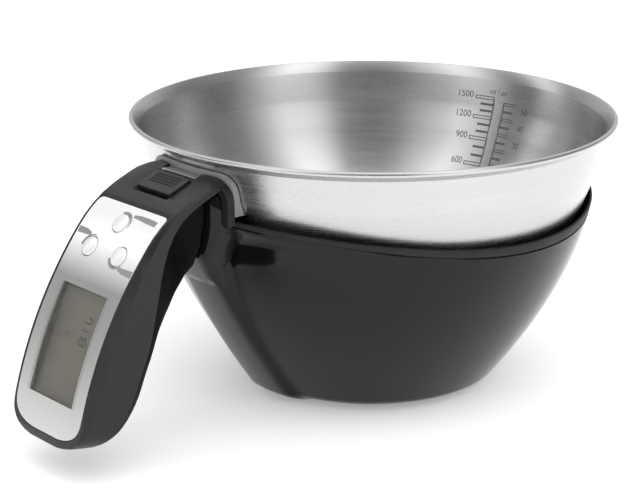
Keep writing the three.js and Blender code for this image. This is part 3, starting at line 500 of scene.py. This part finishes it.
def buildMarks():
    v = markValues
    known = sorted(v["volumes"].items())
    bars, edges = [], []
    for volume in range(known[0][0], known[-1][0] + 1, v["volumeStep"]):
        height = float(np.interp(volume, [k for k, _ in known], [h for _, h in known]))
        if volume in v["volumes"]:
            edges += outlined(v["leftRule"], v["leftLong"], height, v["leftTall"])
        else:
            bars.append(bar(v["leftRule"], v["leftShort"], height))
    for step in range(v["rightCount"]):
        height = v["rightFirst"] + v["rightStep"] * step
        if step % 2:
            bars.append(bar(v["rightShort"], v["rightRule"], height))
        else:
            edges += outlined(v["rightLong"], v["rightRule"], height, v["rightTall"])
    edges.append(wallMark((v["leftRule"] - v["ruleWidth"], v["leftRule"]), v["leftSpan"]))
    edges.append(wallMark((v["rightRule"], v["rightRule"] + v["ruleWidth"]), v["rightSpan"]))
    joinPatches("measureBars", bars, "bowl", "bowl_steel", "markGrey")
    joinPatches("measureLines", edges, "bowl", "bowl_steel", "markGrey")
    for volume, height in v["volumes"].items():
        wallLetters("mark" + str(volume), str(volume), v["letters"], v["volumeAngle"],
                    height + v["volumeLift"], v["letterRadius"], True)
    for ounces, height in v["ounces"].items():
        wallLetters("markOunces" + str(ounces), str(ounces), v["letters"], v["ounceAngle"], height,
                    v["letterRadius"])
    wallLetters("markUnits", "ml / oz", v["unitLetters"], v["unitAngle"], v["unitHeight"], v["unitRadius"])


buildMarks()
print("measure marks made")

# shell and liner: a turned wall that leans, dips and grows a spine
shellValues = {"base": 52, "radius": 96.5, "height": 95, "power": 1.75, "heelDrop": 8.3, "heelHeight": 6,
               "gap": 1.0, "rimMean": 81.7, "rimDip": 5.3, "rimLean": 4.0, "lip": 2.6, "lipGrowth": 1.8,
               "flare": 1.6, "nearFlare": 3.5, "wall": 1.4, "fit": 0.3, "cover": 45.9, "coverThick": 2.6,
               "ledge": 3, "edgeIn": 0.35, "edgeDown": 0.5, "turns": 360, "crowding": 0.7, "inFade": 2,
               "coverFit": 0.2, "heelMark": 10}
spineValues = {"half": 14, "foot": 55.2, "slope": 0.7, "sag": 0.00115, "top": 70, "fade": 10, "corner": 11,
               "join": 7, "leastCos": 0.2, "leastSin": 0.01, "turnFrom": 0.5, "turnOver": 0.3}
markLevels = {"still": 60, "edge": 80, "lip": 85}
linerValues = {"thick": 1.0, "floor": 36.6, "inner": 12, "arc": [(44, 36.6), (70, 36.6), (84, 50)],
               "join": 66,
               "lip": [(0.15, 80.4), (0, 80.8), (0, 84.2), (0.15, 84.7), (0.5, 85), (1.0, 85), (1.0, 82)]}


def ease(value):
    value = np.clip(value, 0, 1)
    return value * value * (3 - 2 * value)


def heelAt(z):
    return shellValues["heelDrop"] * np.maximum(1 - z / shellValues["heelHeight"], 0) ** 2


def lipShare(z):
    return ease((z - shellValues["rimMean"]) / (shellValues["height"] - shellValues["rimMean"]))


def flankRadius(z):
    # Rounded flank that levels out at the top, a heel drawn in at the floor, a small flare at the lip.
    v = shellValues
    level = 1 - np.clip(z, 0, v["height"]) / v["height"]
    flank = v["base"] + (v["radius"] - v["base"]) * (1 - level ** v["power"])
    return flank - heelAt(z) + v["flare"] * lipShare(z)


def roundWall(turn, z):
    near = ((1 + np.cos(turn)) / 2) ** 4
    return flankRadius(z) + shellValues["nearFlare"] * near * lipShare(z)


def spineWall(turn, z):
    # Smooth greater of the round wall and a flat-fronted spine, itself a smooth lesser of front and sides.
    v = spineValues
    ridge = v["foot"] + v["slope"] * z - v["sag"] * z * z - heelAt(z)
    front = ridge / np.maximum(np.cos(turn), v["leastCos"])
    side = v["half"] / np.maximum(np.abs(np.sin(turn)), v["leastSin"])
    spine = (front + side - np.hypot(front - side, v["corner"])) / 2
    wall = roundWall(turn, z)
    merged = (wall + spine + np.hypot(wall - spine, v["join"])) / 2
    low = 1 - ease((z - v["top"]) / v["fade"])
    share = low * ease((np.cos(turn) - v["turnFrom"]) / v["turnOver"])
    return wall + share * (merged - wall)


def wrapWall(profile, wall, keepInside):
    # Profile points are (distance inside the wall, mark).
    # Marks over the still level stretch to the edge, and those over the edge mark to the lip.
    v, m = shellValues, markLevels
    even = np.linspace(-np.pi, np.pi, v["turns"], endpoint=False)[:, None]
    turn = even - v["crowding"] * np.sin(even)
    inset, mark = profile[:, 0][None, :], profile[:, 1][None, :]
    edge = v["rimMean"] + v["rimDip"] * np.cos(2 * turn) + v["rimLean"] * np.cos(turn)
    lipTop = edge + v["lip"] + v["lipGrowth"] * (1 - np.cos(turn))
    middle = m["still"] + (edge - m["still"]) * (mark - m["still"]) / (m["edge"] - m["still"])
    upper = edge + (lipTop - edge) * (mark - m["edge"]) / (m["lip"] - m["edge"])
    z = np.where(mark <= m["still"], mark + 0 * turn, np.where(mark <= m["edge"], middle, upper))
    flat = flankRadius(mark)
    weight = np.clip((flat - inset - keepInside) / v["inFade"], 0, 1)
    radius = np.maximum(flat + weight * (wall(turn, z) - flat) - inset, 0)
    return np.stack([-radius * np.cos(turn) * mm + axisX, radius * np.sin(turn) * mm, z * mm], axis=-1)


def insetOf(line):
    # Points (radius, height) become (distance inside the flank, height).
    line = np.array(line, float)
    return np.stack([flankRadius(line[:, 1]) - line[:, 0], line[:, 1]], axis=1)


def wallLine(inset, marks):
    return np.stack([np.full_like(marks, inset), marks], axis=1)


def buildShell():
    v, edge = shellValues, markLevels["edge"]
    heel, still = v["heelMark"], markLevels["still"]
    spans = [(v["gap"], heel, 14), (heel + 1, still, 40), (still + 1, edge, 24)]
    marks = np.concatenate([np.linspace(*span) for span in spans])
    outside = wallLine(0.0, marks)
    outside[-1, 0] = v["edgeIn"]
    outside[-2, 1] = edge - v["edgeDown"]
    ledge = v["gap"] + v["coverThick"] + v["fit"]
    inside = wallLine(v["wall"], marks)[marks > ledge + 2][::-1]
    cover, inner = v["cover"], v["cover"] - v["ledge"]
    closing = insetOf([(cover, ledge + v["wall"]), (inner, ledge + v["wall"]), (inner, ledge), (cover, ledge),
                       (cover, v["gap"])])
    profile = np.vstack([closing[-1:], outside, inside, closing])
    points = wrapWall(profile, spineWall, cover + v["coverFit"])
    gridPiece("glossShellBody", points, "shell", "gloss_shell", "outer_shell", (True, True))


def buildLiner():
    v, edge = linerValues, markLevels["edge"]
    hidden = shellValues["wall"] + shellValues["fit"]
    under = bezier([*v["arc"], (flankRadius(v["join"]) - hidden, v["join"])], 40)
    over = offsetLine(under, v["thick"])[::-1]
    marks = np.linspace(v["join"] + 1, edge, 20)
    lip = [(hidden, v["lip"][0][1]), *v["lip"]]
    floor = insetOf([(v["inner"], v["floor"])])
    roof = insetOf([(v["inner"], v["floor"] + v["thick"])])
    profile = np.vstack([floor, insetOf(under), wallLine(hidden, marks), lip,
                         wallLine(hidden + v["thick"], marks)[::-1], insetOf(over), roof, floor])
    points = wrapWall(profile, roundWall, markLevels["still"])
    gridPiece("mattLiner", points, "shell", "matt_black", "inner_liner", (True, True))


buildShell()
buildLiner()
print("shell and liner made")

# printed and engraved detail on the front of the handle
handleValues = {"reach": 98.4, "rise": 112.1, "length": 135, "samples": 2701, "topAngle": 21.5,
                "bendStart": 23, "bendAngle": 49.4, "bendEnd": 45.2, "faceRadius": 166.5}
curveStations = np.linspace(0, handleValues["length"], handleValues["samples"])


def slopeAlong(s):
    v = handleValues
    share = np.clip((s - v["bendStart"]) / (v["bendEnd"] - v["bendStart"]), 0, 1)
    bent = np.radians(v["topAngle"] + (v["bendAngle"] - v["topAngle"]) * share)
    return bent + np.maximum(s - v["bendEnd"], 0) / v["faceRadius"]


def frontLine():
    # The front curve is the running sum of its direction.
    slope = slopeAlong(curveStations)
    middle = (slope[1:] + slope[:-1]) / 2
    step = curveStations[1] - curveStations[0]
    x = -handleValues["reach"] - np.concatenate([[0], np.cumsum(np.cos(middle)) * step])
    z = handleValues["rise"] - np.concatenate([[0], np.cumsum(np.sin(middle)) * step])
    return x, z


curveX, curveZ = frontLine()


def onHandle(s, y, depth):
    # Point at station s, y across and depth behind the front curve.
    slope = slopeAlong(s)
    x = np.interp(s, curveStations, curveX) + depth * np.sin(slope)
    z = np.interp(s, curveStations, curveZ) - depth * np.cos(slope)
    return np.stack([x * mm + axisX, y * mm, z * mm], axis=-1)


def ribbon(path, width, depthAt):
    # A flat band of given widths along a path of (station, across) points on the handle's front.
    path = np.array(path, float)
    fine = np.linspace(0, 1, 24)
    share = np.linspace(0, 1, len(path))
    line = np.stack([np.interp(fine, share, path[:, k]) for k in range(2)], axis=1)
    wide = np.interp(fine, np.linspace(0, 1, len(width)), width)
    half = leftNormals(line) * wide[:, None] / 2
    grid = np.stack([line + half, line, line - half], axis=1)
    return onHandle(grid[..., 0], grid[..., 1], depthAt(grid[..., 0]))


# Arcs beside the buttons: centre, start and end in degrees, widths. Tabs run from an arc to the edge.
grooveValues = {
    "proud": 0.04, "radius": 4.9, "window": (69.2, 114.4), "windowHalf": 15.3, "windowLine": 0.35,
    "arcs": [((40.5, 0), (100, -30), (0.3, 1.0, 1.5)), ((53.3, 9.5), (10, -95), (0.3, 1.1, 1.6)),
             ((53.3, -9.5), (250, 130), (1.6, 1.1, 0.3))],
    "tabs": [([(36.0, -4.2), (35.8, -8.0), (36.0, -12.5), (36.3, -18.4)], (1.2, 2.0, 2.5, 2.4)),
             ([(48.6, 12.6), (48.2, 16.0), (48.2, 21.2)], (1.4, 2.4, 2.8)),
             ([(57.8, -12.4), (58.2, -16.0), (58.2, -21.2)], (1.4, 2.4, 2.8))]}


def proudOf(station):
    return -grooveValues["proud"] + 0 * station


def buildFasciaDetail():
    v = grooveValues
    bands = []
    for (station, across), sweep, width in v["arcs"]:
        a = np.radians(np.linspace(*sweep, 9))
        path = np.stack([station - v["radius"] * np.cos(a), across - v["radius"] * np.sin(a)], axis=1)
        bands.append(ribbon(path, width, proudOf))
    bands += [ribbon(path, width, proudOf) for path, width in v["tabs"]]
    joinPatches("buttonGrooves", bands, "shell", "fascia_silver", "grooveGrey")
    sides = [ribbon([(s, y) for s in v["window"]], (v["windowLine"], v["windowLine"]), proudOf)
             for y in (v["windowHalf"], -v["windowHalf"])]
    joinPatches("windowLines", sides, "shell", "fascia_silver", "grooveGrey")


# display: digits and marks in (station, across) on the recessed panel
lcdValues = {"digits": (7, 1, 1, 8), "middle": 91.9, "depth": 5.0, "lift": 0.12, "tall": 4.3, "wide": 2.2,
             "pitch": 3.1, "first": 79.4, "across": -1.5, "stroke": 0.65, "gap": 0.08,
             "unitRows": (7.6, 6.2, 4.2, 2.8), "unitRow": (87.4, 89.4), "unitStroke": 0.5,
             "unitPosts": (87.6, 89.2), "unitPost": (7.8, 5.8), "postStroke": 0.4,
             "dot": [(89.8, 11.6), (90.9, 11.6)], "dotStroke": 1.1}
segmentBars = {"a": ((0, 1), (1, 1)), "b": ((1, 1), (1, 0.5)), "c": ((1, 0.5), (1, 0)), "d": ((0, 0), (1, 0)),
               "e": ((0, 0), (0, 0.5)), "f": ((0, 0.5), (0, 1)), "g": ((0, 0.5), (1, 0.5))}
segmentsLit = {1: "bc", 7: "abcf", 8: "abcdefg"}


def lcdDepth(station):
    # The panel is flat and the front curve falls away from it by distance squared over twice the radius.
    v = lcdValues
    return v["depth"] - v["lift"] - (station - v["middle"]) ** 2 / (2 * handleValues["faceRadius"])


def inked(path, stroke):
    return ribbon(path, (stroke, stroke), lcdDepth)


def segmentDigit(value, station):
    # Seven bars; the digit reads along the handle, with its top towards -y.
    v = lcdValues
    made = []
    for key in segmentsLit[value]:
        ends = np.array([(station + x * v["wide"], v["across"] - y * v["tall"]) for x, y in segmentBars[key]])
        gap = (ends[1] - ends[0]) * v["gap"]
        made.append(inked([ends[0] + gap, ends[1] - gap], v["stroke"]))
    return made


def buildDisplay():
    # Four digits, a small unit mark and a battery dot, all printed flat on the panel.
    v = lcdValues
    digits = [segmentDigit(value, v["first"] + place * v["pitch"]) for place, value in enumerate(v["digits"])]
    joinPatches("lcdDigits", sum(digits, []), "shell", "lcd", "digitInk")
    faint = [inked([(s, y) for s in v["unitRow"]], v["unitStroke"]) for y in v["unitRows"]]
    faint += [inked([(s, y) for y in v["unitPost"]], v["postStroke"]) for s in v["unitPosts"]]
    faint.append(inked(v["dot"], v["dotStroke"]))
    joinPatches("lcdMarks", faint, "shell", "lcd", "faintInk")


buildFasciaDetail()
buildDisplay()
print("handle front detailed")

# floor, studio walls and soft boxes; wall stops go from the floor up, turn stops once round the room
stageValues = {"floorSize": 8.0, "floorShade": 0.92, "floorRoughness": 0.9, "floorGlow": 0.3,
               "worldLight": 1.15, "ceiling": (0.97, 0.8), "aim": (0.03, 0, 0.06),
               "wallStops": [(0.0, 0.9), (0.12, 0.8), (0.3, 0.95), (0.55, 1.3), (0.75, 1.6), (1.0, 1.25)],
               "turnStops": [(0.0, 0.8), (0.05, 0.5), (0.09, 0.2), (0.13, 0.14), (0.18, 0.2), (0.215, 0.9),
                             (0.27, 1.2), (0.31, 0.6), (0.35, 0.24), (0.46, 0.22), (0.55, 0.7), (0.72, 0.6),
                             (0.8, 0.3), (0.825, 1.0), (0.85, 1.0), (0.87, 0.22), (0.91, 0.22), (0.95, 0.8),
                             (0.98, 1.0)]}
boxValues = {"keyBox": {"place": (-0.6, -0.9, 1.3), "size": (2.0, 2.0), "power": 12},
             "fillBox": {"place": (1.1, -0.7, 0.8), "size": (1.2, 1.5), "power": 5}}


def makeFloor():
    v = stageValues
    reach = v["floorSize"] / 2
    corners = [(-reach, -reach, 0), (reach, -reach, 0), (reach, reach, 0), (-reach, reach, 0)]
    mesh = bpy.data.meshes.new("floor")
    mesh.from_pydata(corners, [], [(0, 1, 2, 3)])
    look = Finish("paleFloor", {"Base Color": grey(v["floorShade"]), "Roughness": v["floorRoughness"],
                                "Emission Color": (1, 1, 1, 1), "Emission Strength": v["floorGlow"]})
    mesh.materials.append(look.material)
    floor = bpy.data.objects.new("floor", mesh)
    bpy.context.scene.collection.objects.link(floor)


def softBox(name, place, size, power):
    lamp = bpy.data.lights.new(name, "AREA")
    lamp.shape = "RECTANGLE"
    lamp.size, lamp.size_y = size
    lamp.energy = power
    holder = bpy.data.objects.new(name, lamp)
    holder.location = place
    holder.rotation_euler = (Vector(stageValues["aim"]) - Vector(place)).to_track_quat("-Z", "Y").to_euler()
    holder.visible_glossy = False  # the walls of the studio make the reflections
    bpy.context.scene.collection.objects.link(holder)


def paintWorld():
    # Studio walls: bright near the floor, grey half way up, bright overhead, with dark panels round the room.
    v = stageValues
    world = bpy.data.worlds.new("studio")
    world.use_nodes = True
    bpy.context.scene.world = world
    room = NodeTree(world.node_tree)
    x = room.node("ShaderNodeSeparateXYZ", {}, {0: room.node("ShaderNodeTexCoord").out("Generated")})
    y, z = x.out(1), x.out(2)
    turn = room.spread(y.maths("ARCTAN2", x), -math.pi, math.pi, 0.0, 1.0)
    walls = room.node("ShaderNodeValToRGB", {"stops": v["wallStops"]}, {0: z})
    panels = room.node("ShaderNodeValToRGB", {"stops": v["turnStops"]}, {0: turn})
    painted = room.blend(room.spread(z, *v["ceiling"], 0.0, 1.0), walls, panels, "MULTIPLY")
    light = world.node_tree.nodes["Background"]
    world.node_tree.links.new(painted.socket, light.inputs["Color"])
    light.inputs["Strength"].default_value = v["worldLight"]


makeFloor()
paintWorld()
for boxName, box in boxValues.items():
    softBox(boxName, **box)
bpy.context.scene.view_settings.view_transform = "Standard"

cameraValues = {"beside": -0.5249, "y": -0.5474, "z": 0.2963, "ahead": (0.6683, 0.7438), "pitch": 17.72,
                "lens": 102.7, "sensor": 36, "clip": 0.01}


def setCamera():
    # It looks along the level direction ahead, tipped down by the pitch.
    v = cameraValues
    pitch = math.radians(v["pitch"])
    ahead = Vector((v["ahead"][0] * math.cos(pitch), v["ahead"][1] * math.cos(pitch), -math.sin(pitch)))
    lens = bpy.data.cameras.new("camera")
    lens.sensor_width = v["sensor"]
    lens.lens = v["lens"]
    lens.clip_start = v["clip"]
    camera = bpy.data.objects.new("camera", lens)
    bpy.context.scene.collection.objects.link(camera)
    camera.location = (axisX + v["beside"], v["y"], v["z"])
    camera.rotation_mode = "QUATERNION"
    camera.rotation_quaternion = ahead.to_track_quat("-Z", "Y")
    bpy.context.scene.camera = camera


setCamera()
print("stage, light and camera set")

bpy.context.view_layer.update()
